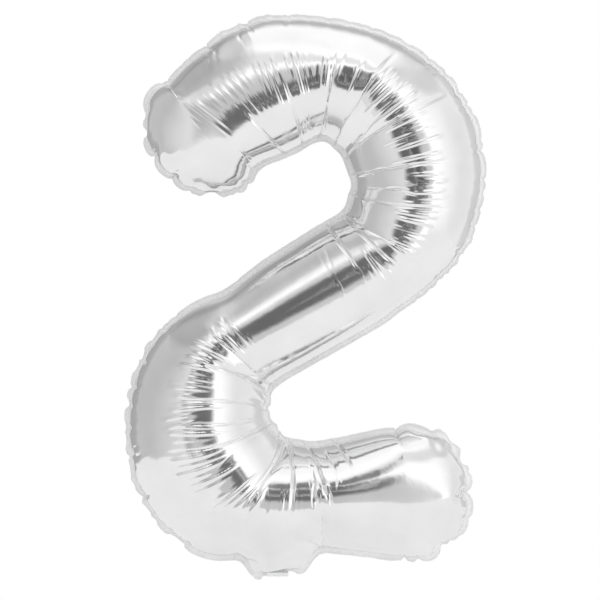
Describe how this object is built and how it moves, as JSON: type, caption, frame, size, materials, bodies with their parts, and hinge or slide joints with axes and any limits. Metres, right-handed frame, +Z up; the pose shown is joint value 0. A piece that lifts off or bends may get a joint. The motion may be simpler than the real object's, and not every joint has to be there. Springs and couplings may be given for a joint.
{
  "type": "foil number balloon",
  "caption": "Inflated silver foil balloon shaped as the numeral 2, with a welded flat border and a folded filling neck holding a self-sealing film valve.",
  "frame": {"origin": "root of the filling neck, on the balloon's lower edge in the welded seam plane, where a ribbon is tied", "axes": "+X to the reader's right, +Z up the numeral, -Y towards the reader"},
  "size_m": [0.553, 0.1804, 0.8632],
  "materials": {
    "silver_foil": "mirror-bright metallised film, finely crinkled",
    "clear_film": "clear thin polyethylene film"
  },
  "bodies": {
    "envelope": {"front_panel": "silver_foil", "back_panel": "silver_foil", "valve_front_film_throat": "clear_film", "valve_back_film_throat": "clear_film"},
    "neck": {"neck_front_foil": "silver_foil", "neck_back_foil": "silver_foil", "valve_front_film_mouth": "clear_film", "valve_back_film_mouth": "clear_film"},
    "valve_tongue": {"valve_front_film_tongue": "clear_film", "valve_back_film_tongue": "clear_film"}
  },
  "joints": [
    {"name": "neck_fold", "type": "hinge", "parent": "envelope", "child": "neck", "pos_m": [0, 0, -0.002], "axis": [-1, 0, 0], "range_deg": [0, 125]},
    {"name": "valve_tongue_swing", "type": "hinge", "parent": "envelope", "child": "valve_tongue", "pos_m": [0, 0, 0.0102], "axis": [1, 0, 0], "range_deg": [0, 112]}
  ]
}
